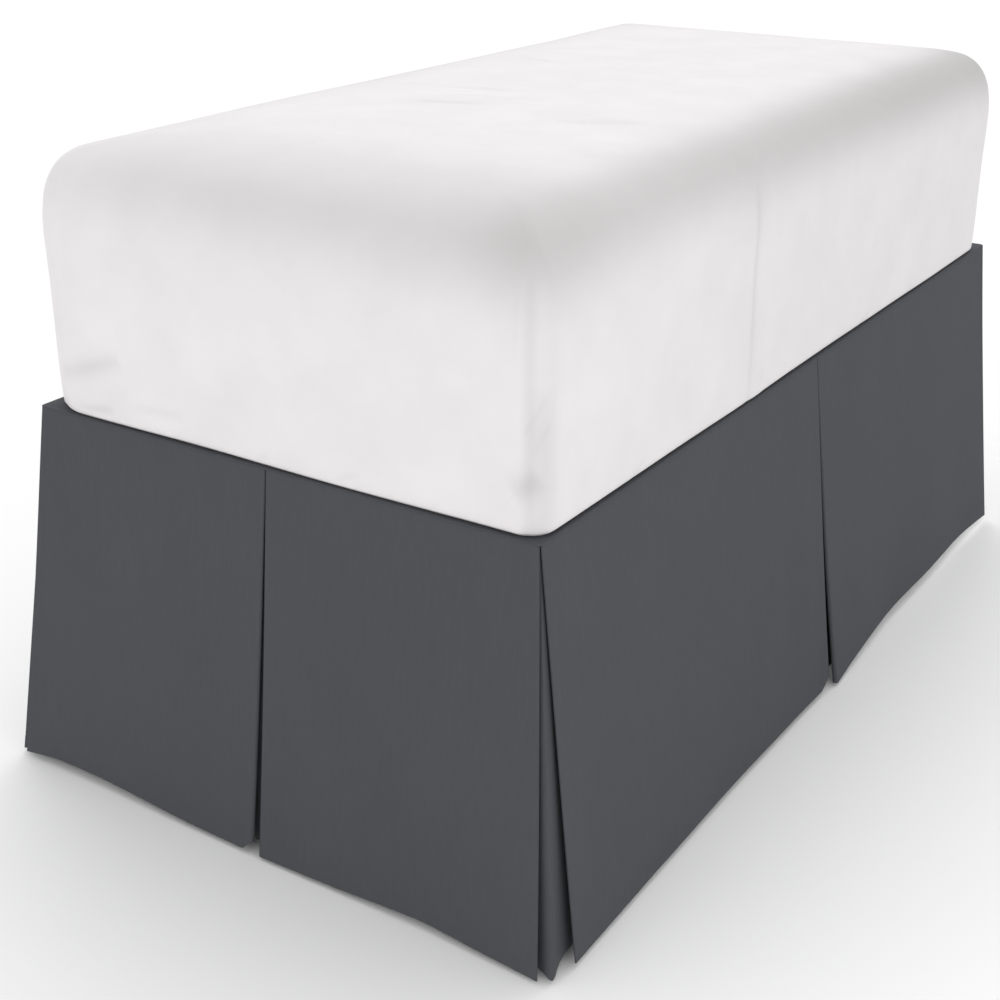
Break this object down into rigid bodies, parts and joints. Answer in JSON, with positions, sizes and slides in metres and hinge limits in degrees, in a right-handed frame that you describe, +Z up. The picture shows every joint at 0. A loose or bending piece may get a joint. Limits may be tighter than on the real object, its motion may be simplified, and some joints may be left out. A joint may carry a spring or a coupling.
{
  "type": "bed skirt on a twin bed with mattress, box spring and metal frame",
  "caption": "Tailored bed skirt with flared drops, an inverted box pleat in each drop and inserts behind split foot corners, hung from a plain twin bed with a white mattress.",
  "frame": {"origin": "on the floor, under the middle of the whole part's box", "axes": "+Z up, +Y along the bed towards its head, +X to the right as seen from the foot"},
  "size_m": [1.174, 1.994, 1.1206],
  "materials": {
    "skirt_cloth": "matte charcoal plain weave",
    "fitted_sheet": "soft white plain weave",
    "box_spring_cover": "plain off-white ticking",
    "frame_enamel": "satin dark enamel",
    "foot_plastic": "matte"
  },
  "bodies": {
    "root": {"deck": "skirt_cloth", "foot_drop": "skirt_cloth", "side_drop_right": "skirt_cloth", "side_drop_left": "skirt_cloth", "corner_insert_right": "skirt_cloth", "corner_insert_left": "skirt_cloth", "mattress": "fitted_sheet", "box_spring": "box_spring_cover", "side_rail_right": "frame_enamel", "side_rail_left": "frame_enamel", "head_rail": "frame_enamel", "foot_rail": "frame_enamel", "centre_rail": "frame_enamel", "slat_1": "frame_enamel", "slat_2": "frame_enamel", "slat_3": "frame_enamel", "slat_4": "frame_enamel", "slat_5": "frame_enamel", "slat_6": "frame_enamel", "slat_7": "frame_enamel", "slat_8": "frame_enamel", "slat_9": "frame_enamel", "leg_right_foot": "frame_enamel", "leg_right_middle": "frame_enamel", "leg_right_head": "frame_enamel", "leg_left_foot": "frame_enamel", "leg_left_middle": "frame_enamel", "leg_left_head": "frame_enamel", "leg_cap_right_foot": "foot_plastic", "leg_cap_right_middle": "foot_plastic", "leg_cap_right_head": "foot_plastic", "leg_cap_left_foot": "foot_plastic", "leg_cap_left_middle": "foot_plastic", "leg_cap_left_head": "foot_plastic"}
  },
  "joints": []
}
